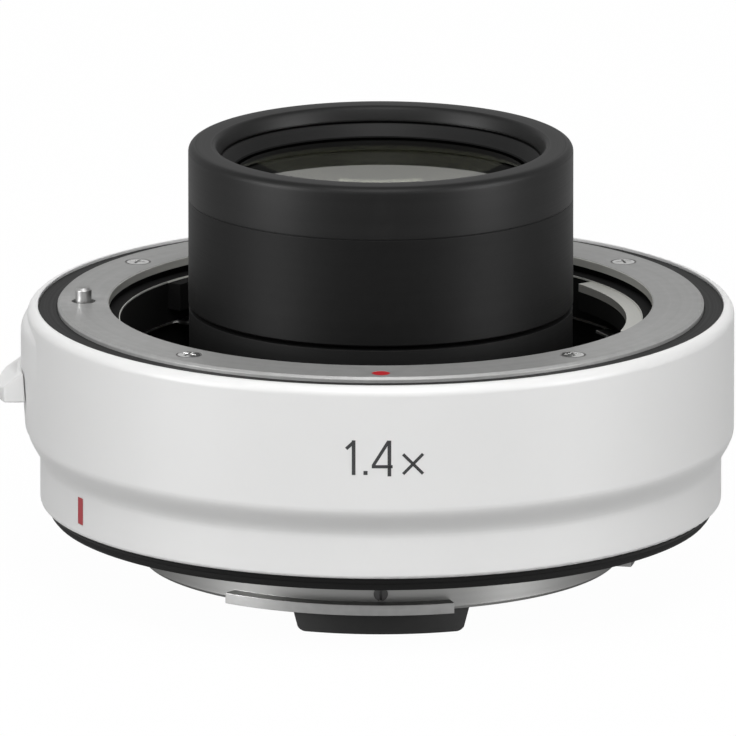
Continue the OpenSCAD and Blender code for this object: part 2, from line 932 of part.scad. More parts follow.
module lock_lever() {
  color("white")
    difference() {
      union() {
        intersection() {
          at(-90, 0, 0)
            translate([-lever_w / 2, 0, 0])
              rotate([90, 0, 90])
                linear_extrude(height = lever_w)
                  difference() {
                    polygon([[-lever_in + 2.5, lever_low], [-lever_out, lever_low],
                      [-lever_out, lever_low + 1], [-lever_in + 0.45, lever_low + lever_h],
                      [-lever_in + 2.5, lever_low + lever_h]]);
                    translate([-lever_out + lever_round, lever_low + lever_round])
                      rotate([0, 0, 180])
                        difference() {
                          square(lever_round + 0.2);
                          circle(r = lever_round);
                        }
                  }
          at(-90, lever_out - lever_plan_r, lever_low - 1)
            cylinder(r = lever_plan_r, h = lever_h + 2);
        }
        at(-90, frame_r - 1.6 + fit_gap, neck_low)
          translate([-neck_half, -(lever_in - frame_r + 1.7), 0])
            cube([2 * neck_half, lever_in - frame_r + 1.7, neck_t]);
      }
      difference() {
        translate([-swell_x, 0, lever_low - 1])
          cylinder(r1 = swell_at(lever_low - 1) + 2 * run_gap,
            r2 = swell_at(lever_low + lever_h + 1) + 2 * run_gap, h = lever_h + 2);
        at(-90, frame_r - 1.6, neck_low)
          translate([-neck_half, -6, 0])
            cube([2 * neck_half, 6, neck_t]);
      }
      at(-90, frame_r - 0.7, 0)
        rod(0.4, arm_low - 1, arm_top + 1);
    }
}

module lock_guide_rods() {
  color("silver")
    for (s = [-1, 1])
      at(-90, pin_pitch_r, 0)
        translate([s * rod_off, 0, 0])
          rod(rod_r, pocket_floor - 1.3, ledge_z + 1.3);
}

module lock_spring() {
  sides = 6;
  rings = coil_turns * 8;
  points = [for (i = [0 : rings], k = [0 : sides - 1])
    let (a = 360 * i / 8, b = 360 * k / sides, r = coil_r + wire_r * cos(b))
      [r * cos(a), r * sin(a), coil_low + (coil_high - coil_low) * i / rings + wire_r * sin(b)]];
  walls = [for (i = [0 : rings - 1], k = [0 : sides - 1])
    let (n = (k + 1) % sides)
      each [[i * sides + k, i * sides + n, (i + 1) * sides + n],
        [i * sides + k, (i + 1) * sides + n, (i + 1) * sides + k]]];
  first = [[for (k = [sides - 1 : -1 : 0]) k]];
  last = [[for (k = [0 : sides - 1]) rings * sides + k]];
  color("silver")
    at(-90, pin_pitch_r, 0)
      polyhedron(points = points, faces = concat(walls, first, last));
}

outer_barrel();
front_trim_ring();
rear_gasket();
rear_index_mark();
front_mount_ring();
front_mount_screws();
front_index_dot();
front_leaf_springs();
lock_pin();
lock_lever();
lock_carriage();
lever_cross_pin();
lock_spring();
lock_guide_rods();
chassis();
front_lens_tube();
front_cap_ring();
front_retaining_ring();
lens_1();
lens_2();
lens_3();
lens_4();
lens_5();
lens_6();
lens_7();
second_group_retainer();
middle_lens_cell();
middle_retainer();
cell_spacer();
rear_lens_cell();
rear_retaining_ring();
rear_mount_ring();
rear_mount_screws();
rear_mount_shim();
stop_screw();
rear_inner_cover();
rear_cover_screws();
rear_contact_block();
rear_contact_pads();
front_contact_block();
contact_block_screws();
contact_tails();
circuit_board();
control_chip();
board_screws();
flex_circuit();
contact_pin_01();
contact_pin_02();
contact_pin_03();
contact_pin_04();
contact_pin_05();
contact_pin_06();
contact_pin_07();
contact_pin_08();
contact_pin_09();
contact_pin_10();
contact_pin_11();
contact_pin_12();
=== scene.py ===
"""Looks of a short white camera teleconverter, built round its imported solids.

Metres throughout, in the frame of the solids: origin on the optical axis in the rear bearing
plane, +Z towards the lens, -Y towards the red dot. Angles run from the red dot towards +X.
"""

import json
import logging
import math
from dataclasses import dataclass
from enum import Enum
from typing import Sequence

import bmesh
import bpy
from mathutils import Matrix, Vector


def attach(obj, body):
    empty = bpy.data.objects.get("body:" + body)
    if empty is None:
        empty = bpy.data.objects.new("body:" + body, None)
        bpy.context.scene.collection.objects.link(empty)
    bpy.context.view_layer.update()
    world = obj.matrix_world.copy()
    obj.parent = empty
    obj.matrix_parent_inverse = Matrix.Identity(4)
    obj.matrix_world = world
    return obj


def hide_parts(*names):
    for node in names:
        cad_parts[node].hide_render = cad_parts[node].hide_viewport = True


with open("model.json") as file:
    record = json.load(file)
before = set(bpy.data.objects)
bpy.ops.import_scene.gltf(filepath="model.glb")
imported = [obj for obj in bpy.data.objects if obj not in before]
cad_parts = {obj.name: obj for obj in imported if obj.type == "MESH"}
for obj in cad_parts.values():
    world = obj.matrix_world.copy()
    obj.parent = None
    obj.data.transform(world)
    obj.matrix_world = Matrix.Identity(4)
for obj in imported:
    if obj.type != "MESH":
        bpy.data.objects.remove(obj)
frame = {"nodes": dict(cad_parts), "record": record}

MM = 0.001
BODY = "body"
Colour = tuple[float, float, float]
Point = tuple[float, float]
log = logging.getLogger("teleconverter")


class Slot(Enum):
    """Material slots of the record."""

    WHITE = "white_paint"
    TRIM = "trim_black"
    STEEL = "steel"
    ANODISED = "anodised_black"
    GLASS = "lens_glass"
    RUBBER = "rubber"
    RED = "red_enamel"
    GOLD = "gold_plate"
    PLASTIC = "black_plastic"
    BOARD = "board_green"
    FILM = "flex_amber"
    BRASS = "shim_brass"
    SPRING = "spring_steel"


class Shows(Enum):
    """Kind of light that a lamp gives."""

    BOTH = "both"
    MATT = "matt"
    SHINY = "shiny"


class Lay(Enum):
    """Which way the fine marks of a finish run."""

    ROUND = "turned about the optical axis"
    EVEN = "the same in every direction"


# Shader groups


def new_group(name: str, inputs: dict[str, float], outputs: Sequence[str]) -> bpy.types.NodeTree:
    """Makes an empty shader group with number sockets.

    Args:
        name: the group's name.
        inputs: socket names with their usual values.
        outputs: socket names.

    Returns:
        The group, with its input and output nodes placed.
    """
    tree = bpy.data.node_groups.new(name, "ShaderNodeTree")
    for key, value in inputs.items():
        socket = tree.interface.new_socket(key, in_out="INPUT", socket_type="NodeSocketFloat")
        socket.default_value = value
    for key in outputs:
        tree.interface.new_socket(key, in_out="OUTPUT", socket_type="NodeSocketFloat")
    tree.nodes.new("NodeGroupInput").name = "in"
    tree.nodes.new("NodeGroupOutput").name = "out"
    return tree


def math_node(tree: bpy.types.NodeTree, operation: str, first, second=None) -> bpy.types.NodeSocket:
    """Adds a Math node.

    Args:
        tree: the tree that gets it.
        operation: Blender's name of the operation.
        first: a socket or a number.
        second: a socket, a number or nothing.

    Returns:
        The node's output socket.
    """
    node = tree.nodes.new("ShaderNodeMath")
    node.operation = operation
    for socket, value in zip(node.inputs, (first, second)):
        if isinstance(value, bpy.types.NodeSocket):
            tree.links.new(value, socket)
        elif value is not None:
            socket.default_value = value
    return node.outputs[0]


class ShaderKit:
    """The groups that more than one finish uses."""

    def __init__(self) -> None:
        """Builds the groups once."""
        self.grain = self._grain()
        self.turned = self._turned()
        self.wear = self._wear()

    @staticmethod
    def _grain() -> bpy.types.NodeTree:
        """Builds a fine even grain with a broad soft cloud under it.

        Returns:
            The group.
        """
        tree = new_group("fine_grain", {"Scale": 4000.0, "Cloud Scale": 90.0}, ("Fine", "Cloud"))
        place = tree.nodes.new("ShaderNodeTexCoord").outputs["Object"]
        for key, output, detail in (("Scale", "Fine", 3.0), ("Cloud Scale", "Cloud", 2.0)):
            noise = tree.nodes.new("ShaderNodeTexNoise")
            noise.inputs["Detail"].default_value = detail
            tree.links.new(place, noise.inputs["Vector"])
            tree.links.new(tree.nodes["in"].outputs[key], noise.inputs["Scale"])
            tree.links.new(noise.outputs["Fac"], tree.nodes["out"].inputs[output])
        return tree

    @staticmethod
    def _turned() -> bpy.types.NodeTree:
        """Builds the fine rings left by a lathe, across flat faces and round walls alike.

        Returns:
            The group.
        """
        tree = new_group("turned_marks", {"Scale": 9000.0, "Broad Scale": 700.0}, ("Fine", "Broad"))
        place = tree.nodes.new("ShaderNodeTexCoord").outputs["Object"]
        split = tree.nodes.new("ShaderNodeSeparateXYZ")
        tree.links.new(place, split.inputs[0])
        squares = [math_node(tree, "POWER", split.outputs[i], 2.0) for i in (0, 1)]
        radius = math_node(tree, "SQRT", math_node(tree, "ADD", *squares))
        along = math_node(tree, "ADD", radius, math_node(tree, "MULTIPLY", split.outputs[2], 1.3))
        for key, output in (("Scale", "Fine"), ("Broad Scale", "Broad")):
            noise = tree.nodes.new("ShaderNodeTexNoise")
            noise.noise_dimensions = "1D"
            noise.inputs["Detail"].default_value = 2.0
            noise.inputs["Scale"].default_value = 1.0
            place_along = math_node(tree, "MULTIPLY", along, tree.nodes["in"].outputs[key])
            tree.links.new(place_along, noise.inputs["W"])
            tree.links.new(noise.outputs["Fac"], tree.nodes["out"].inputs[output])
        return tree

    @staticmethod
    def _wear() -> bpy.types.NodeTree:
        """Builds a mask of outward edges, broken up by noise.

        Returns:
            The group.
        """
        tree = new_group("edge_wear", {"Start": 0.52, "End": 0.6, "Break Scale": 900.0}, ("Mask",))
        spread = tree.nodes.new("ShaderNodeMapRange")
        source = tree.nodes.new("ShaderNodeNewGeometry").outputs["Pointiness"]
        tree.links.new(source, spread.inputs["Value"])
        tree.links.new(tree.nodes["in"].outputs["Start"], spread.inputs["From Min"])
        tree.links.new(tree.nodes["in"].outputs["End"], spread.inputs["From Max"])
        noise = tree.nodes.new("ShaderNodeTexNoise")
        tree.links.new(tree.nodes.new("ShaderNodeTexCoord").outputs["Object"], noise.inputs["Vector"])
        tree.links.new(tree.nodes["in"].outputs["Break Scale"], noise.inputs["Scale"])
        broken = math_node(tree, "MULTIPLY", spread.outputs["Result"], noise.outputs["Fac"])
        tree.links.new(broken, tree.nodes["out"].inputs["Mask"])
        return tree


# Finishes


@dataclass(frozen=True)
class BlackingAndShadeZone:
    """The part of a turned piece that is painted dark, as blacking and as painted shade, with a painted
    highlight on what stays lit.

    Attributes:
        below: height under which walls are painted dark, as blacking and shade.
        lug_low: height above which the lugs are left lit; below it they are painted in shade.
        lug_radius: radius inside which the lugs lie.
        lug_from: place along X up to which the lugs are painted in shade.
        edge: outer radius of the ledge's inner edge, which is left lit.
        edge_depth: how far that edge reaches down.
        bore: radius inside which what stays lit gets the painted highlight.
        tone: the black of the blacking and the painted shade.
        painted_highlight: colour of the painted highlight.
    """

    below: float
    lug_low: float = 0.0
    lug_radius: float = 0.0
    lug_from: float = 0.0
    edge: float = 0.0
    bore: float = 0.0
    tone: Colour = (0.006, 0.006, 0.006)
    painted_highlight: Colour = (0.62, 0.62, 0.585)
    edge_depth: float = 0.9 * MM

    def masks(self, tree: bpy.types.NodeTree) -> tuple[bpy.types.NodeSocket, bpy.types.NodeSocket]:
        """Adds the nodes that tell the part painted dark, the painted highlight and plain apart.

        Args:
            tree: the material's tree.

        Returns:
            A socket that is 1 where the piece is painted dark, as blacking and shade, and one that is 1 inside
            the bore, where the highlight is painted.
        """
        split = tree.nodes.new("ShaderNodeSeparateXYZ")
        tree.links.new(tree.nodes.new("ShaderNodeTexCoord").outputs["Object"], split.inputs[0])
        across, _, height = split.outputs
        squares = [math_node(tree, "POWER", split.outputs[i], 2.0) for i in (0, 1)]
        radius = math_node(tree, "SQRT", math_node(tree, "ADD", *squares))
        # Lugs are left lit above lug_low and right of lug_from; elsewhere they take the painted shade.
        lug = math_node(tree, "MULTIPLY", math_node(tree, "LESS_THAN", radius, self.lug_radius),
                        math_node(tree, "GREATER_THAN", height, self.lug_low))
        lug = math_node(tree, "MULTIPLY", lug, math_node(tree, "GREATER_THAN", across, self.lug_from))
        # The ledge's inner edge is left lit; the ledge below it takes the painted shade.
        ledge = math_node(tree, "MULTIPLY", math_node(tree, "LESS_THAN", radius, self.edge),
                          math_node(tree, "GREATER_THAN", radius, self.lug_radius))
        ledge = math_node(tree, "MULTIPLY", ledge,
                          math_node(tree, "GREATER_THAN", height, self.below - self.edge_depth))
        bare = math_node(tree, "SUBTRACT", 1.0, math_node(tree, "MAXIMUM", lug, ledge))
        dark = math_node(tree, "MULTIPLY", math_node(tree, "LESS_THAN", height, self.below), bare)
        return dark, math_node(tree, "LESS_THAN", radius, self.bore)


@dataclass(frozen=True)
class Finish:
    """An opaque surface: two tones, a roughness with a spread, and fine relief.

    Attributes:
        name: the material's name.
        tone: main colour.
        second: colour that the broad cloud or rings lead to.
        worn: colour of the outward edges.
        rough: roughness in the middle of its spread.
        spread: how far roughness varies to either side.
        metallic: 1 for bare metal.
        relief: height of the fine relief, in metres.
        scale: fineness of the relief, per metre.
        lay: which way the marks run.
        wear: how much the worn colour shows.
        specular: specular level of a non-metal.
        coat: weight of a clear coat.
        edge: radius to which edges are rounded in the shading, in metres.
        grazing: share of the mirror image left where a metal is seen at a low angle.
        blacking_and_shade: the part of a bare metal that is painted dark, as blacking and shade, with a painted
            highlight, or nothing.
        black_rough: least roughness of that part.
    """

    name: str
    tone: Colour
    second: Colour
    worn: Colour
    rough: float
    spread: float = 0.06
    metallic: float = 0.0
    relief: float = 2e-6
    scale: float = 4000.0
    lay: Lay = Lay.EVEN
    wear: float = 0.3
    specular: float = 0.5
    coat: float = 0.0
    edge: float = 0.08 * MM
    grazing: float = 1.0
    blacking_and_shade: BlackingAndShadeZone | None = None
    black_rough: float = 0.85

    def build(self, kit: ShaderKit) -> bpy.types.Material:
        """Makes the material.

        Args:
            kit: the shared shader groups.

        Returns:
            The new material.
        """
        material = bpy.data.materials.new(self.name)
        material.use_nodes = True
        tree = material.node_tree
        shader = tree.nodes["Principled BSDF"]
        marks = tree.nodes.new("ShaderNodeGroup")
        marks.node_tree = kit.turned if self.lay is Lay.ROUND else kit.grain
        marks.inputs["Scale"].default_value = self.scale
        fine, broad = marks.outputs[0], marks.outputs[1]
        tone = self._blend(tree, broad, self.tone, self.second)
        wear = tree.nodes.new("ShaderNodeGroup")
        wear.node_tree = kit.wear
        mask = math_node(tree, "MULTIPLY", wear.outputs["Mask"], self.wear)
        tone = self._blend(tree, mask, tone, self.worn)
        # Paints the highlight inside the bore, then the blacking and painted shade below it.
        if self.blacking_and_shade:
            dark, polished_and_highlit = self.blacking_and_shade.masks(tree)
            tone = self._blend(tree, polished_and_highlit, tone, self.blacking_and_shade.painted_highlight)
            tone = self._blend(tree, dark, tone, self.blacking_and_shade.tone)
            bare = math_node(tree, "SUBTRACT", 1.0, dark)
            tree.links.new(math_node(tree, "MULTIPLY", bare, self.metallic), shader.inputs["Metallic"])
        tree.links.new(tone, shader.inputs["Base Color"])
        level = tree.nodes.new("ShaderNodeMapRange")
        level.inputs["To Min"].default_value = self.rough - self.spread
        level.inputs["To Max"].default_value = self.rough + self.spread
        tree.links.new(fine, level.inputs["Value"])
        rough = level.outputs["Result"]
        if self.blacking_and_shade:
            rough = math_node(tree, "MAXIMUM", rough, math_node(tree, "MULTIPLY", dark, self.black_rough))
        tree.links.new(rough, shader.inputs["Roughness"])
        bump = tree.nodes.new("ShaderNodeBump")
        bump.inputs["Distance"].default_value = self.relief
        bump.inputs["Strength"].default_value = 1.0
        tree.links.new(fine, bump.inputs["Height"])
        if self.edge:
            edge = tree.nodes.new("ShaderNodeBevel")
            edge.inputs["Radius"].default_value = self.edge
            tree.links.new(edge.outputs["Normal"], bump.inputs["Normal"])
        tree.links.new(bump.outputs["Normal"], shader.inputs["Normal"])
        shader.inputs["Metallic"].default_value = self.metallic
        shader.inputs["Specular Tint"].default_value = (*(self.grazing,) * 3, 1.0)
        shader.inputs["Specular IOR Level"].default_value = self.specular
        shader.inputs["Coat Weight"].default_value = self.coat
        return material

    @staticmethod
    def _blend(tree: bpy.types.NodeTree, share, first, second: Colour) -> bpy.types.NodeSocket:
        """Mixes two colours by a share.

        Args:
            tree: the tree that gets the node.
            share: socket with the second colour's share.
            first: colour or socket.
            second: colour.

        Returns:
            The mixed colour's socket.
        """
        mix = tree.nodes.new("ShaderNodeMix")
        mix.data_type = "RGBA"
        tree.links.new(share, mix.inputs["Factor"])
        if isinstance(first, bpy.types.NodeSocket):
            tree.links.new(first, mix.inputs[6])
        else:
            mix.inputs[6].default_value = (*first, 1.0)
        mix.inputs[7].default_value = (*second, 1.0)
        return mix.outputs[2]


@dataclass(frozen=True)
class GlassFinish:
    """Coated optical glass.

    Attributes:
        name: the material's name.
        tint: colour of the glass.
        coating: tint of the reflection.
        index: refractive index.
        haze: greatest roughness.
        cloud_scale: fineness of the haze, per metre.
    """

    name: str
    tint: Colour
    coating: Colour
    index: float = 1.5
    haze: float = 0.02
    cloud_scale: float = 40.0

    def build(self, kit: ShaderKit) -> bpy.types.Material:
        """Makes the material.

        Args:
            kit: the shared shader groups.

        Returns:
            The new material.
        """
        material = bpy.data.materials.new(self.name)
        material.use_nodes = True
        tree = material.node_tree
        shader = tree.nodes["Principled BSDF"]
        marks = tree.nodes.new("ShaderNodeGroup")
        marks.node_tree = kit.grain
        marks.inputs["Cloud Scale"].default_value = self.cloud_scale
        level = tree.nodes.new("ShaderNodeMapRange")
        level.inputs["To Min"].default_value = 0.0
        level.inputs["To Max"].default_value = self.haze
        tree.links.new(marks.outputs["Cloud"], level.inputs["Value"])
        tree.links.new(level.outputs["Result"], shader.inputs["Roughness"])
        shader.inputs["Base Color"].default_value = (*self.tint, 1.0)
        shader.inputs["Transmission Weight"].default_value = 1.0
        shader.inputs["IOR"].default_value = self.index
        shader.inputs["Specular Tint"].default_value = (*self.coating, 1.0)
        return material


BLACK_WORN: Colour = (0.03, 0.03, 0.03)
FINISHES = {
    Slot.WHITE: Finish("white_enamel", (0.80, 0.80, 0.795), (0.82, 0.82, 0.815), (0.86, 0.86, 0.86), 0.42,
                       scale=2600.0, specular=0.4, edge=0.25 * MM),
    Slot.TRIM: Finish("satin_black_trim", (0.010, 0.010, 0.010), (0.014, 0.014, 0.014), BLACK_WORN, 0.55,
                      lay=Lay.ROUND, relief=1e-6, specular=0.14),
    Slot.STEEL: Finish("turned_steel", (0.40, 0.40, 0.395), (0.46, 0.46, 0.455), (0.75, 0.75, 0.75), 0.33,
                       metallic=0.85, lay=Lay.ROUND, relief=4e-7, wear=0.4, grazing=0.6, specular=0.3),
    Slot.ANODISED: Finish("black_anodising", (0.0035, 0.0035, 0.0035), (0.005, 0.005, 0.005), BLACK_WORN, 0.5,
                          lay=Lay.ROUND, relief=8e-7, scale=6000.0, specular=0.13, wear=0.15),
    Slot.GLASS: GlassFinish("coated_glass", (0.30, 0.31, 0.26), (1.0, 1.0, 0.72), 1.62),
    Slot.RUBBER: Finish("moulded_rubber", (0.004, 0.004, 0.004), (0.006, 0.006, 0.006),
                        (0.015, 0.015, 0.015), 0.65, relief=4e-6, scale=3000.0, specular=0.15),
    Slot.RED: Finish("red_enamel", (0.42, 0.010, 0.016), (0.50, 0.014, 0.020), (0.55, 0.05, 0.05), 0.4,
                     wear=0.2),
    Slot.GOLD: Finish("gold_plate", (0.83, 0.58, 0.24), (0.88, 0.64, 0.30), (0.95, 0.80, 0.50), 0.24,
                      metallic=1.0, relief=5e-7),
    Slot.PLASTIC: Finish("grained_black_plastic", (0.010, 0.010, 0.010), (0.014, 0.014, 0.014), BLACK_WORN, 0.5,
                         relief=5e-6, scale=3500.0, specular=0.35),
    Slot.BOARD: Finish("solder_mask", (0.010, 0.09, 0.03), (0.016, 0.14, 0.05), (0.3, 0.3, 0.2), 0.35,
                       coat=0.3),
    Slot.FILM: Finish("amber_film", (0.50, 0.22, 0.03), (0.58, 0.28, 0.05), (0.6, 0.35, 0.1), 0.3),
    Slot.BRASS: Finish("ground_brass", (0.70, 0.52, 0.24), (0.76, 0.58, 0.30), (0.85, 0.7, 0.4), 0.32,
                       metallic=1.0, lay=Lay.ROUND),
    Slot.SPRING: Finish("spring_steel", (0.50, 0.50, 0.49), (0.58, 0.58, 0.57), (0.8, 0.8, 0.8), 0.3,
                        metallic=1.0, relief=5e-7),
}
SPECIAL = {
    # Front ring: painted dark below the lugs, partly as blacking and partly as shade; the left lug and the
    # lower lugs are painted in shade, the bore and lug tops get a painted highlight.
    "front_mount_ring": Finish("blacked_and_shaded_steel", (0.30, 0.30, 0.295), (0.35, 0.35, 0.345), (0.7, 0.7, 0.7), 0.4,
                               metallic=0.35, lay=Lay.ROUND, relief=4e-7, wear=0.4, grazing=0.4, specular=0.3,
                               blacking_and_shade=BlackingAndShadeZone(below=19.45 * MM, lug_low=17.8 * MM, lug_radius=25.75 * MM,
                                                   lug_from=-19.2 * MM, edge=26.0 * MM, bore=27.05 * MM)),
    "rear_mount_ring": Finish("spigot_steel", (0.31, 0.31, 0.305), (0.36, 0.36, 0.355), (0.6, 0.6, 0.6), 0.33,
                              metallic=0.85, lay=Lay.ROUND, relief=4e-7, wear=0.4, grazing=0.1, specular=0.3),
    "front_cap_ring": Finish("cap_anodising", (0.007, 0.007, 0.007), (0.010, 0.010, 0.010), BLACK_WORN, 0.45,
                             lay=Lay.ROUND, relief=8e-7, scale=6000.0, specular=0.16, wear=0.15, edge=0.3 * MM),
    "rear_index_mark": Finish("dark_red_enamel", (0.36, 0.012, 0.022), (0.42, 0.016, 0.026),
                              (0.45, 0.03, 0.04), 0.4),
    # A near-black band without reflection, painted as the shadow line between retaining ring and glass.
    "blackened_edge": Finish("shadow_line_paint", (0.0004, 0.0004, 0.0004), (0.0008, 0.0008, 0.0008),
                             (0.001, 0.001, 0.001), 0.9, relief=1e-6, specular=0.0, edge=0.0),
    # Toned dark as painted shade, standing for the shade in the hole round the stop screw.
    "stop_screw": Finish("shade_toned_steel", (0.05, 0.05, 0.05), (0.07, 0.07, 0.07), (0.2, 0.2, 0.2), 0.35,
                         metallic=0.8, relief=4e-7),
    "chassis": Finish("inner_black", (0.006, 0.006, 0.006), (0.009, 0.009, 0.009), BLACK_WORN, 0.55,
                      lay=Lay.ROUND, relief=8e-7, specular=0.15, wear=0.1),
    # Its lower part is painted almost black, as the shade line where the ring meets the glass.
    "front_retaining_ring": Finish("ring_anodising", (0.004, 0.004, 0.004), (0.006, 0.006, 0.006),
                                   BLACK_WORN, 0.5, lay=Lay.ROUND, relief=8e-7, scale=6000.0,
                                   specular=0.15, wear=0.1,
                                   blacking_and_shade=BlackingAndShadeZone(below=33.6 * MM, tone=(0.0005, 0.0005, 0.0005))),
}
POLISHED = Finish("polished_screw", (0.66, 0.66, 0.65), (0.72, 0.72, 0.71), (0.85, 0.85, 0.85), 0.16,
                  metallic=0.9, relief=3e-7, edge=0.05 * MM)
SMOKED = GlassFinish("smoked_inner_glass", (0.16, 0.17, 0.14), (0.5, 0.55, 0.4), 1.12)
PRINT = Finish("grey_print", (0.035, 0.035, 0.037), (0.05, 0.05, 0.052), (0.06, 0.06, 0.06), 0.55,
               relief=5e-7, edge=0.0, specular=0.3)


class Paints:
    """The materials of the slots, each built once."""

    def __init__(self) -> None:
        """Builds the shared groups and every slot's material."""
        kit = ShaderKit()
        self.by_slot = {slot: finish.build(kit) for slot, finish in FINISHES.items()}
        self.by_node = {node: finish.build(kit) for node, finish in SPECIAL.items()}
        self.polished_and_highlit = POLISHED.build(kit)
        smoked = SMOKED.build(kit)
        self.by_node.update({f"lens_{number}": smoked for number in range(2, 7)})
        self.print = PRINT.build(kit)

    def dress(self, piece: bpy.types.Object, node: str, slot: Slot) -> None:
        """Gives a piece its own material where it has one, or else its slot's.

        Args:
            piece: the object to dress.
            node: name of the solid that it is or stands for.
            slot: the solid's slot in the record.
        """
        piece.data.materials.clear()
        piece.data.materials.append(self.by_node.get(node, self.by_slot[slot]))


# Pieces


def round_place(angle: float, radius: float, height: float) -> Vector:
    """Point at an angle from the red dot, in degrees, with radius and height in metres."""
    turn = math.radians(angle)
    return Vector((radius * math.sin(turn), -radius * math.cos(turn), height))


def new_piece(name: str, mesh: bpy.types.Mesh, body: str) -> bpy.types.Object:
    """Links a finished mesh and ties it to a body.

    Args:
        name: the piece's name.
        mesh: its mesh, with place and material.
        body: the body that it moves with.

    Returns:
        The new object.
    """
    piece = bpy.data.objects.new(name, mesh)
    bpy.context.scene.collection.objects.link(piece)
    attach(piece, body)
    log.info("%s: %d faces", name, len(mesh.polygons))
    return piece


def lathe(name: str, profile: Sequence[Point], segments: int = 128) -> bpy.types.Mesh:
    """Turns a closed profile about the optical axis.

    Args:
        name: the mesh's name.
        profile: radius and height of each point, in metres, against the clock.
        segments: steps round the axis.

    Returns:
        A closed mesh with faces outward; a radius of 0 becomes a single point.
    """
    work = bmesh.new()
    rows = []
    for radius, height in profile:
        steps = segments if radius > 0 else 1
        rows.append([work.verts.new(round_place(360 * i / steps, radius, height)) for i in range(steps)])
    for low, high in zip(rows, rows[1:] + rows[:1]):
        for i in range(segments):
            corners = list(dict.fromkeys((low[i % len(low)], low[(i + 1) % len(low)],
                                          high[(i + 1) % len(high)], high[i % len(high)])))
            if len(corners) > 2:
                work.faces.new(corners)
    bmesh.ops.recalc_face_normals(work, faces=work.faces)
    mesh = bpy.data.meshes.new(name)
    work.to_mesh(mesh)
    work.free()
    return mesh


def smooth_by_angle(mesh: bpy.types.Mesh, degrees: float = 32.0) -> None:
    """Shades a mesh smooth except over edges that turn by more than an angle."""
    mesh.shade_smooth()
    mesh.set_sharp_from_angle(angle=math.radians(degrees))


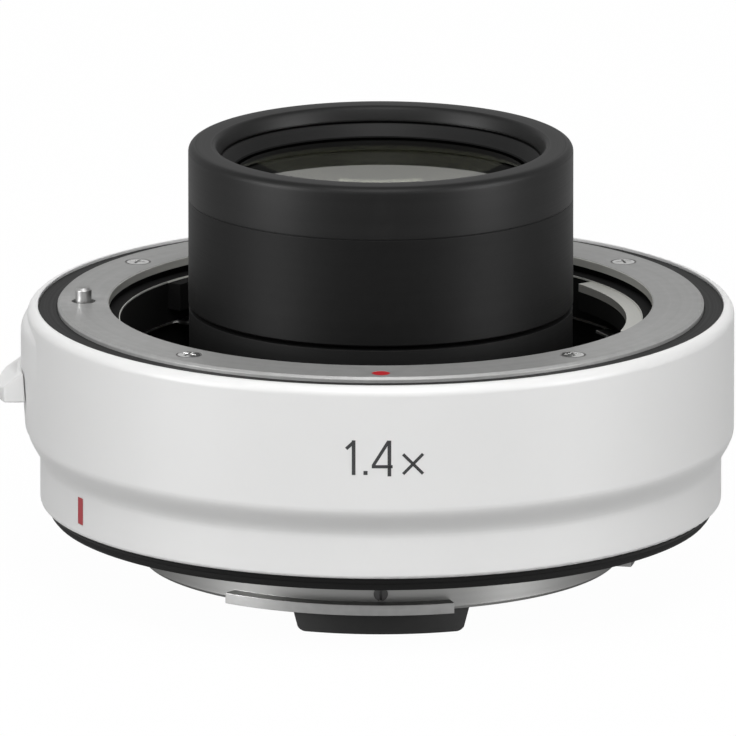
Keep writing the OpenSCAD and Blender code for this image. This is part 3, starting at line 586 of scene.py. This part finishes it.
@dataclass
class ScrewSet:
    """Equal countersunk screws with a slightly domed, crossed head.

    Attributes:
        node: the solids that the set stands for.
        radius: distance of the screws from the optical axis.
        angles: their angles from the red dot, in degrees.
        height: height of the face that they are flush with.
        facing: 1 for heads that look to the lens, -1 to the camera.
        length: whole length.
        head: radius of the head.
        shank: radius of the shank.
        dome: rise of the head's middle.
        slot_half: half the length of the cross's arms.
        slot_width: width of the arms.
        slot_depth: depth of the arms.
        neck: depth at which the head's cone meets the shank.
        rim_depth: depth of the dome's rim under the face.
        rim_height: height of the straight rim under the dome.
        turn: greatest turn of the cross, in degrees.
        seed: seed for the turn of each screw.
    """

    node: str
    radius: float
    angles: tuple[float, ...]
    height: float
    facing: int
    length: float
    head: float = 1.25 * MM
    shank: float = 0.75 * MM
    dome: float = 0.14 * MM
    slot_half: float = 0.78 * MM
    slot_width: float = 0.27 * MM
    slot_depth: float = 0.5 * MM
    neck: float = 0.68 * MM
    rim_depth: float = 0.06 * MM
    rim_height: float = 0.04 * MM
    turn: float = 80.0
    seed: int = 4

    def build(self, paints: Paints) -> None:
        """Makes the set on its points and puts it in place of the solids.

        Args:
            paints: the materials.
        """
        points = bpy.data.meshes.new(f"{self.node}_points")
        points.from_pydata([round_place(a, self.radius, self.height) for a in self.angles], [], [])
        field_piece = bpy.data.objects.new(f"{self.node}_field", points)
        template = self._template()
        for piece in (field_piece, template):
            bpy.context.scene.collection.objects.link(piece)
        tree, sockets = self._tree()
        layer = field_piece.modifiers.new("repeat", "NODES")
        layer.node_group = tree
        layer[sockets["Screw"]] = template
        layer[sockets["Finish"]] = paints.polished_and_highlit
        layer[sockets["Seed"]] = self.seed
        layer[sockets["Turn"]] = math.radians(self.turn)
        graph = bpy.context.evaluated_depsgraph_get()
        mesh = bpy.data.meshes.new_from_object(field_piece.evaluated_get(graph), depsgraph=graph)
        for piece in (field_piece, template):
            bpy.data.objects.remove(piece)
        smooth_by_angle(mesh)
        piece = new_piece(f"{self.node}_shown", mesh, BODY)
        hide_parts(self.node)

    def _template(self) -> bpy.types.Object:
        """Makes one screw at the origin, with the face that it sits in at z = 0.

        Returns:
            The screw as an object outside the scene.
        """
        rim = -self.rim_depth
        top = [(self.head * math.cos(t), rim + self.dome * math.sin(t))
               for t in (math.radians(15 * i) for i in range(6))]
        profile = [(0.0, -self.length), (self.shank, -self.length), (self.shank, -self.neck),
                   (self.head, rim - self.rim_height), *top, (0.0, rim + self.dome)]
        screw = bpy.data.objects.new("screw", lathe("screw", profile, 48))
        cutters = []
        for turn in (0.0, 90.0):
            work = bmesh.new()
            size = (2 * self.slot_half, self.slot_width, 2 * self.slot_depth)
            bmesh.ops.create_cube(work, size=1.0, matrix=Matrix.Rotation(math.radians(turn), 4, "Z")
                                  @ Matrix.Diagonal((*size, 1.0)))
            mesh = bpy.data.meshes.new("cross_arm")
            work.to_mesh(mesh)
            work.free()
            cutters.append(bpy.data.objects.new("cross_arm", mesh))
        for piece in (screw, *cutters):
            bpy.context.scene.collection.objects.link(piece)
        for cutter in cutters:
            cut = screw.modifiers.new("cross", "BOOLEAN")
            cut.object = cutter
            cut.operation = "DIFFERENCE"
            cut.solver = "EXACT"
        graph = bpy.context.evaluated_depsgraph_get()
        mesh = bpy.data.meshes.new_from_object(screw.evaluated_get(graph), depsgraph=graph)
        for piece in (screw, *cutters):
            bpy.data.objects.remove(piece)
        if self.facing < 0:
            mesh.transform(Matrix.Rotation(math.pi, 4, "X"))
        return bpy.data.objects.new("screw_template", mesh)

    @staticmethod
    def _tree() -> tuple[bpy.types.NodeTree, dict[str, str]]:
        """Builds the tree that sets a screw on each point.

        Returns:
            The tree, and the identifier of each named input.
        """
        tree = bpy.data.node_groups.new("screws_on_points", "GeometryNodeTree")
        kinds = {"Points": "NodeSocketGeometry", "Screw": "NodeSocketObject",
                 "Finish": "NodeSocketMaterial", "Seed": "NodeSocketInt", "Turn": "NodeSocketFloat"}
        sockets = {}
        for key, kind in kinds.items():
            sockets[key] = tree.interface.new_socket(key, in_out="INPUT", socket_type=kind).identifier
        tree.interface.new_socket("Screws", in_out="OUTPUT", socket_type="NodeSocketGeometry")
        start, end = tree.nodes.new("NodeGroupInput"), tree.nodes.new("NodeGroupOutput")
        source = tree.nodes.new("GeometryNodeObjectInfo")
        source.inputs["As Instance"].default_value = True
        turn = tree.nodes.new("FunctionNodeRandomValue")
        turn.data_type = "FLOAT"
        spin = tree.nodes.new("ShaderNodeCombineXYZ")
        stand = tree.nodes.new("GeometryNodeInstanceOnPoints")
        real = tree.nodes.new("GeometryNodeRealizeInstances")
        paint = tree.nodes.new("GeometryNodeSetMaterial")
        link = tree.links.new
        link(start.outputs["Screw"], source.inputs["Object"])
        link(start.outputs["Seed"], turn.inputs["Seed"])
        link(start.outputs["Turn"], turn.inputs[3])
        link(turn.outputs[1], spin.inputs["Z"])
        link(start.outputs["Points"], stand.inputs["Points"])
        link(source.outputs["Geometry"], stand.inputs["Instance"])
        link(spin.outputs[0], stand.inputs["Rotation"])
        link(stand.outputs["Instances"], real.inputs["Geometry"])
        link(real.outputs["Geometry"], paint.inputs["Geometry"])
        link(start.outputs["Finish"], paint.inputs["Material"])
        link(paint.outputs["Geometry"], end.inputs["Screws"])
        return tree, sockets


@dataclass
class PowerMark:
    """The enlargement figure printed on the front of the wall.

    Attributes:
        wall: radius of the wall.
        lift: how far the ink stands out.
        sink: how far it reaches into the paint.
        step_rise: lift added from stroke to stroke, so that crossing ones don't share a face.
        steps: pieces along each stroke.
        strokes: start, end and width of each stroke, across and up, in millimetres.
    """

    wall: float = 35.1 * MM
    lift: float = 0.012 * MM
    sink: float = 0.05 * MM
    step_rise: float = 0.0002 * MM
    steps: int = 10
    strokes: tuple[tuple[Point, Point, float], ...] = (
        ((-2.68, 11.17), (-2.68, 14.67), 0.36),
        ((-2.62, 14.55), (-3.41, 13.80), 0.32),
        ((-1.51, 11.19), (-1.51, 11.59), 0.40),
        ((0.76, 14.60), (-0.78, 12.10), 0.32),
        ((-0.90, 12.03), (1.15, 12.03), 0.32),
        ((0.83, 14.67), (0.83, 11.05), 0.36),
        ((2.18, 11.27), (4.14, 13.27), 0.30),
        ((2.18, 13.27), (4.14, 11.27), 0.30),
    )

    def build(self, paints: Paints) -> None:
        """Makes the figure as closed strips bent round the wall.

        Args:
            paints: the materials.
        """
        work = bmesh.new()
        for number, (start, end, width) in enumerate(self.strokes):
            self._strip(work, Vector(start) * MM, Vector(end) * MM, width * MM, number * self.step_rise)
        bmesh.ops.recalc_face_normals(work, faces=work.faces)
        mesh = bpy.data.meshes.new("power_mark")
        work.to_mesh(mesh)
        work.free()
        mesh.materials.append(paints.print)
        new_piece("power_mark", mesh, BODY)

    def _strip(self, work: bmesh.types.BMesh, start: Vector, end: Vector, width: float,
               rise: float) -> None:
        """Adds one stroke.

        Args:
            work: the mesh under way.
            start: first end of its middle line.
            end: other end.
            width: its width.
            rise: lift on top of the usual one.
        """
        side = Vector((end.y - start.y, start.x - end.x)).normalized() * width / 2
        rings = []
        for i in range(self.steps + 1):
            middle = start.lerp(end, i / self.steps)
            ring = []
            for point, depth in ((middle + side, self.lift + rise), (middle - side, self.lift + rise),
                                 (middle - side, -self.sink), (middle + side, -self.sink)):
                turn = math.degrees(math.asin(point.x / self.wall))
                ring.append(work.verts.new(round_place(turn, self.wall + depth, point.y)))
            rings.append(ring)
        for low, high in zip(rings, rings[1:]):
            for k in range(4):
                work.faces.new((low[k], low[(k + 1) % 4], high[(k + 1) % 4], high[k]))
        work.faces.new(rings[0])
        work.faces.new(rings[-1])


@dataclass
class SoftLever:
    """The release lever with its edges rounded as a moulding's are.

    Attributes:
        node: the solid that it stands for.
        body: the body that it moves with.
        round_off: radius of the edges.
        segments: steps round each edge.
        angle: edges that turn by more than this, in degrees, are rounded.
        flat: faces that turn by less than this, in degrees, are merged first.
        shown: depth, from the outside, in which edges are rounded.
    """

    node: str = "lock_lever"
    body: str = "lock"
    round_off: float = 0.3 * MM
    segments: int = 4
    angle: float = 25.0
    flat: float = 0.5
    shown: float = 2.1 * MM

    def build(self, paints: Paints) -> None:
        """Makes the rounded lever from a merged copy of the solid.

        Args:
            paints: the materials.
        """
        work = bmesh.new()
        work.from_mesh(frame["nodes"][self.node].data)
        bmesh.ops.remove_doubles(work, verts=work.verts, dist=1e-6)
        bmesh.ops.dissolve_limit(work, angle_limit=math.radians(self.flat), verts=work.verts,
                                 edges=work.edges)
        reach = min(v.co.x for v in work.verts)
        outside = reach + self.shown
        edges = [e for e in work.edges if len(e.link_faces) == 2
                 and e.calc_face_angle() > math.radians(self.angle)
                 and all(v.co.x < outside for v in e.verts)]
        bmesh.ops.bevel(work, geom=edges, offset=self.round_off, offset_type="OFFSET",
                        segments=self.segments, profile=0.5, affect="EDGES", clamp_overlap=True)
        mesh = bpy.data.meshes.new("lever_shown")
        work.to_mesh(mesh)
        work.free()
        smooth_by_angle(mesh)
        piece = new_piece("lever_shown", mesh, self.body)
        paints.dress(piece, self.node, Slot.WHITE)
        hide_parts(self.node)


@dataclass
class FrontGlass:
    """The front element, turned finely enough to mirror the room without facets.

    Attributes:
        node: the solid that it stands for.
        rim: radius of the element.
        ledge: height of the rim under the retaining ring.
        face_rim: radius of the front face inside that ring.
        face: height of the front face at its rim.
        curve: radius of the hollow front face.
        seat: height of the seat.
        back_rim: radius of the bulging back.
        back_curve: radius of the back's curve.
        shadow_line_paint: profile of the painted shadow line round the face, a near-black band on the retaining
            ring's slope.
        rings: steps from the axis to the rim.
        segments: steps round the axis.
    """

    node: str = "lens_1"
    rim: float = 16.0 * MM
    ledge: float = 32.9 * MM
    face_rim: float = 14.45 * MM
    face: float = 33.35 * MM
    curve: float = 600.0 * MM
    seat: float = 30.4 * MM
    back_rim: float = 14.8 * MM
    back_curve: float = 38.0 * MM
    shadow_line_paint: tuple[Point, ...] = ((14.605 * MM, 33.19 * MM), (14.815 * MM, 33.46 * MM),
                                     (14.775 * MM, 33.49 * MM), (14.565 * MM, 33.22 * MM))
    rings: int = 24
    segments: int = 160

    def build(self, paints: Paints) -> None:
        """Makes the element from its two curves, and the painted shadow line round it.

        Args:
            paints: the materials.
        """
        back = [(r, self.seat - self._sag(self.back_curve, self.back_rim) + self._sag(self.back_curve, r))
                for r in self._steps(self.back_rim)]
        front = [(r, self.face - self._sag(self.curve, self.face_rim) + self._sag(self.curve, r))
                 for r in reversed(self._steps(self.face_rim))]
        profile = [*back, (self.rim, self.seat), (self.rim, self.ledge), (self.face_rim, self.ledge),
                   *front]
        mesh = lathe("front_glass", profile, self.segments)
        smooth_by_angle(mesh)
        piece = new_piece("front_glass", mesh, BODY)
        paints.dress(piece, self.node, Slot.GLASS)
        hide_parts(self.node)
        # The painted shadow line round the glass.
        paint = lathe("blackened_edge", list(self.shadow_line_paint), self.segments)
        smooth_by_angle(paint)
        edge = new_piece("blackened_edge", paint, BODY)
        paints.dress(edge, edge.name, Slot.TRIM)

    def _steps(self, rim: float) -> list[float]:
        """Radii from the axis to a rim."""
        return [rim * i / self.rings for i in range(self.rings + 1)]

    @staticmethod
    def _sag(curve: float, radius: float) -> float:
        """Depth of a curve at a radius."""
        return curve - math.sqrt(curve * curve - radius * radius)


@dataclass
class SoftCap:
    """The tube's front cap, with its rim rounded on both sides.

    Attributes:
        node: the solid that it stands for.
        outside: radius of the tube.
        top: height of the rim.
        seam: height of the cap's foot.
        lip: radius where the rim's dish starts.
        crease: radius and height where the dish meets the glass's ring.
        bore: radius inside the cap, under the rim.
        socket: radius of the cap's threaded foot.
        shoulder: height of the step between bore and foot.
        outer_round: radius of the outer corner.
        inner_round: how far the dish's upper corner is rounded, down the dish.
        inner_flat: how far it is rounded along the rim.
        corner_in: how far inside the lip that corner lies.
        fillet: how far above the crease the dish's straight slope ends.
        nick: size of the chamfers at the foot and the crease.
        crease_flat: width of the flat behind the crease.
        segments: steps round the axis.
    """

    node: str = "front_cap_ring"
    outside: float = 19.1 * MM
    top: float = 36.34 * MM
    seam: float = 31.0 * MM
    lip: float = 16.55 * MM
    crease: Point = (15.9 * MM, 34.92 * MM)
    bore: float = 16.75 * MM
    socket: float = 17.65 * MM
    shoulder: float = 33.45 * MM
    outer_round: float = 0.7 * MM
    inner_round: float = 0.4 * MM
    inner_flat: float = 0.3 * MM
    corner_in: float = 0.1 * MM
    fillet: float = 0.12 * MM
    nick: float = 0.02 * MM
    crease_flat: float = 0.1 * MM
    segments: int = 160

    def build(self, paints: Paints) -> None:
        """Makes the cap from its rounded profile.

        Args:
            paints: the materials.
        """
        turns = [math.radians(10 * i) for i in range(10)]
        outer = [(self.outside - self.outer_round * (1 - math.cos(t)),
                  self.top - self.outer_round * (1 - math.sin(t))) for t in turns]
        corner = Vector((self.lip - self.corner_in, self.top))
        down = (Vector(self.crease) - corner).normalized()
        first = corner + Vector((1.0, 0.0)) * self.inner_flat
        last = corner + down * self.inner_round
        inner = [tuple(first.lerp(corner, t).lerp(corner.lerp(last, t), t)) for t in (i / 8 for i in range(9))]
        foot = Vector(self.crease) - down * self.fillet
        inside, under = self.crease[0], self.crease[1] - self.nick
        profile = [(self.socket, self.seam), (self.outside - self.nick, self.seam),
                   (self.outside, self.seam + self.nick), *outer, *inner, tuple(foot),
                   (inside + self.nick, under), (inside + self.crease_flat, under), (self.bore, under),
                   (self.bore, self.shoulder), (self.socket, self.shoulder)]
        mesh = lathe("cap_shown", profile, self.segments)
        smooth_by_angle(mesh)
        piece = new_piece("cap_shown", mesh, BODY)
        paints.dress(piece, self.node, Slot.ANODISED)
        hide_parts(self.node)


# Stage


@dataclass
class Studio:
    """White floor, soft lamps and the camera of the photograph.

    Attributes:
        floor_z: height of what the part stands on.
        floor_half: half the floor's width.
        elevation: camera's height angle, in degrees.
        distance: camera's distance from the aim.
        focal_px: focal length, in pixels of the picture.
        picture: width of the picture, in pixels.
        aim: point of the optical axis that the framing is told by.
        offset: camera's move to its right and up, for the framing.
        ambient: level of the surroundings that lights the part.
        mirrored: level of the surroundings in shiny surfaces.
        floor_seen: level at which the floor glows to the camera.
        floor_share: share of that glow in the floor.
        floor_tone: grey of the floor itself.
    """

    floor_z: float = -8.15 * MM
    floor_half: float = 6.0
    elevation: float = 13.709
    distance: float = 2.88
    focal_px: float = 29000.0
    picture: int = 736
    aim: tuple[float, float, float] = (0.0, 0.0, 15.0 * MM)
    offset: Point = (-1.268 * MM, -1.512 * MM)
    ambient: float = 0.1
    mirrored: float = 0.6
    floor_seen: float = 1.03
    floor_share: float = 0.95
    floor_tone: Colour = (0.36, 0.36, 0.36)

    def build(self) -> None:
        """Makes floor, lamps, world and camera."""
        self._floor()
        self._world()
        self._lamp("overhead_box", (0.0, -0.7, 1.0), 0.8, 11.8)
        self._lamp("left_box", (-1.1, -0.5, 0.6), 0.7, 6.0)
        self._lamp("right_box", (1.1, -0.5, 0.6), 0.7, 5.4)
        self._lamp("back_fill", (0.0, 1.3, 0.45), 0.8, 7.0, Shows.MATT)
        self._lamp("left_strip", (-0.8, -0.38, 0.1), 0.35, 9.0, Shows.SHINY)
        self._lamp("right_strip", (0.8, -0.38, 0.1), 0.35, 8.0, Shows.SHINY)
        self._camera()

    def _floor(self) -> None:
        """Adds the pale floor, which shows white but keeps the shadow, and is open from below."""
        mesh = bpy.data.meshes.new("floor")
        half = self.floor_half
        corners = [(-half, -half), (half, -half), (half, half), (-half, half)]
        mesh.from_pydata([(x, y, self.floor_z) for x, y in corners], [], [(0, 1, 2, 3)])
        floor = bpy.data.objects.new("floor", mesh)
        bpy.context.scene.collection.objects.link(floor)
        material = bpy.data.materials.new("pale_floor")
        material.use_nodes = True
        tree = material.node_tree
        shader = tree.nodes["Principled BSDF"]
        shader.inputs["Base Color"].default_value = (*self.floor_tone, 1.0)
        shader.inputs["Roughness"].default_value = 0.9
        glow = tree.nodes.new("ShaderNodeEmission")
        tree.links.new(self._level(tree, 0.0, self.mirrored, self.floor_seen), glow.inputs["Strength"])
        mix = tree.nodes.new("ShaderNodeMixShader")
        share = math_node(tree, "MULTIPLY", self._level(tree, 0.0, 1.0, 1.0), self.floor_share)
        tree.links.new(share, mix.inputs["Fac"])
        tree.links.new(shader.outputs["BSDF"], mix.inputs[1])
        tree.links.new(glow.outputs["Emission"], mix.inputs[2])
        under = tree.nodes.new("ShaderNodeMixShader")
        side = tree.nodes.new("ShaderNodeNewGeometry").outputs["Backfacing"]
        clear = tree.nodes.new("ShaderNodeBsdfTransparent").outputs["BSDF"]
        tree.links.new(side, under.inputs["Fac"])
        tree.links.new(mix.outputs["Shader"], under.inputs[1])
        tree.links.new(clear, under.inputs[2])
        tree.links.new(under.outputs["Shader"], tree.nodes["Material Output"].inputs["Surface"])
        mesh.materials.append(material)

    @staticmethod
    def _level(tree: bpy.types.NodeTree, lit: float, mirrored: float,
               seen: float) -> bpy.types.NodeSocket:
        """Socket with a level of its own for each way in which the surroundings are met.

        Args:
            tree: the tree that gets the nodes.
            lit: level that lights the part.
            mirrored: level that shows in shiny surfaces.
            seen: level that the camera sees, also through glass.

        Returns:
            The level's socket.
        """
        path = tree.nodes.new("ShaderNodeLightPath")
        direct = math_node(tree, "MAXIMUM", path.outputs["Is Camera Ray"],
                           path.outputs["Is Transmission Ray"])
        shiny = math_node(tree, "MULTIPLY", path.outputs["Is Glossy Ray"],
                          math_node(tree, "SUBTRACT", 1.0, direct))
        parts = math_node(tree, "ADD", math_node(tree, "MULTIPLY", direct, seen - lit),
                          math_node(tree, "MULTIPLY", shiny, mirrored - lit))
        return math_node(tree, "ADD", parts, lit)

    def _world(self) -> None:
        """Sets an even studio grey that shows white."""
        world = bpy.data.worlds.new("studio")
        bpy.context.scene.world = world
        world.use_nodes = True
        tree = world.node_tree
        back = tree.nodes["Background"]
        tree.links.new(self._level(tree, self.ambient, self.mirrored, 1.0), back.inputs["Strength"])
        back.inputs["Color"].default_value = (1.0, 1.0, 1.0, 1.0)

    def _lamp(self, name: str, place: tuple[float, float, float], size: float, power: float,
              shows: Shows = Shows.BOTH) -> None:
        """Adds a square soft lamp that looks at the part.

        Args:
            name: the lamp's name.
            place: its centre.
            size: its side.
            power: its output, in watts.
            shows: kind of light that it gives.
        """
        data = bpy.data.lights.new(name, "AREA")
        data.shape = "SQUARE"
        data.size = size
        data.energy = power
        lamp = bpy.data.objects.new(name, data)
        lamp.location = place
        lamp.visible_diffuse = shows is not Shows.SHINY
        lamp.visible_glossy = shows is not Shows.MATT
        look = Vector(self.aim) - Vector(place)
        lamp.rotation_euler = look.to_track_quat("-Z", "Y").to_euler()
        bpy.context.scene.collection.objects.link(lamp)

    def _camera(self) -> None:
        """Sets the camera to the photograph's view."""
        data = bpy.data.cameras.new("camera")
        data.sensor_width = 36.0
        data.lens = self.focal_px / self.picture * data.sensor_width
        data.clip_start, data.clip_end = 0.1, 50.0
        camera = bpy.data.objects.new("camera", data)
        height = math.radians(self.elevation)
        back = Vector((0.0, -math.cos(height), math.sin(height)))
        up = Vector((0.0, math.sin(height), math.cos(height)))
        right = Vector((1.0, 0.0, 0.0))
        framing = right * self.offset[0] + up * self.offset[1]
        camera.location = Vector(self.aim) + back * self.distance + framing
        camera.rotation_euler = (-back).to_track_quat("-Z", "Y").to_euler()
        bpy.context.scene.collection.objects.link(camera)
        bpy.context.scene.camera = camera


def main() -> None:
    """Builds the looks in order."""
    logging.basicConfig(level=logging.INFO, format="%(message)s")
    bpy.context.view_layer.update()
    bpy.context.scene.view_settings.view_transform = "Standard"
    paints = Paints()
    slots = {row["node"]: Slot(row["material_slot"]) for row in frame["record"]["subparts"]}
    for name, piece in frame["nodes"].items():
        paints.dress(piece, name, slots[name])
        log.info("%s: %s", name, slots[name].value)
    ScrewSet("front_mount_screws", radius=29.4 * MM, angles=(-40.0, 40.0, -124.5, 124.5),
             height=20.3 * MM, facing=1, length=5.8 * MM).build(paints)
    ScrewSet("rear_mount_screws", radius=29.6 * MM, angles=(-45.0, 45.0, -135.0, 135.0),
             height=0.0, facing=-1, length=5.2 * MM, seed=7).build(paints)
    PowerMark().build(paints)
    SoftLever().build(paints)
    SoftCap().build(paints)
    FrontGlass().build(paints)
    Studio().build()


if __name__ == "__main__":
    main()
